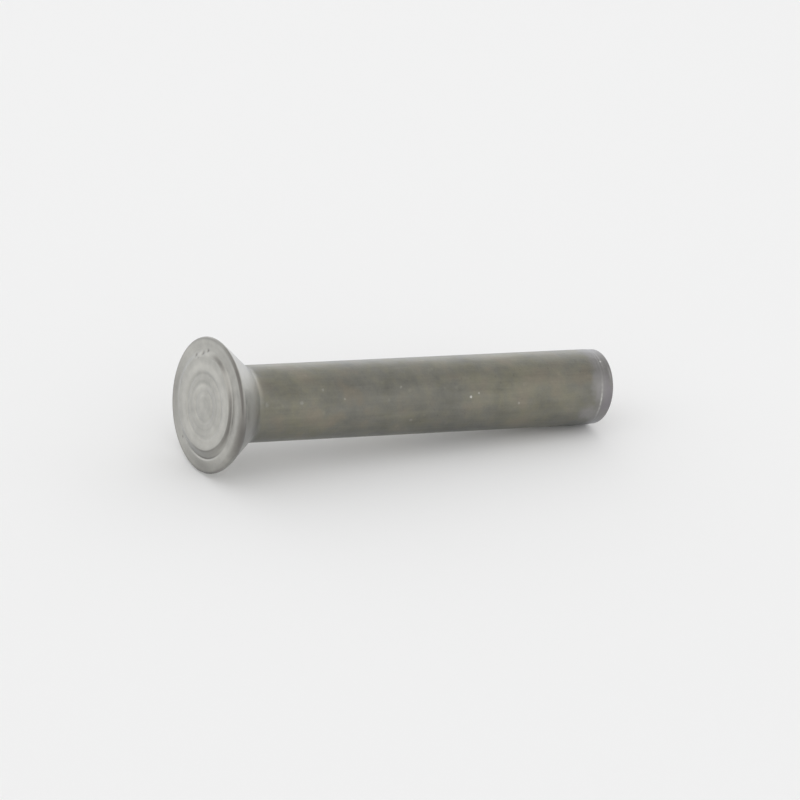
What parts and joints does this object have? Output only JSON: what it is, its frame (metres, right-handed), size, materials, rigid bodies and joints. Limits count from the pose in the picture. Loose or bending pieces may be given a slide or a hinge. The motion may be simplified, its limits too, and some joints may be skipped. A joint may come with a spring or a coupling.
{
  "type": "countersunk rivet",
  "caption": "Solid countersunk rivet with a flat conical head, a raised ringed pad on its face and a plain round shank with a square-cut end.",
  "frame": {"origin": "centre of the head's face, on the plane of its raised pad", "axes": "+Z along the rivet's axis, from the head's face to the cut end; X and Y are any two radii"},
  "size_m": [0.0088, 0.0088, 0.03],
  "materials": {
    "steel": "dull grey steel, bare and lighter on the head, with an olive-grey film on the shank"
  },
  "bodies": {
    "root": {"rivet": "steel"}
  },
  "joints": []
}
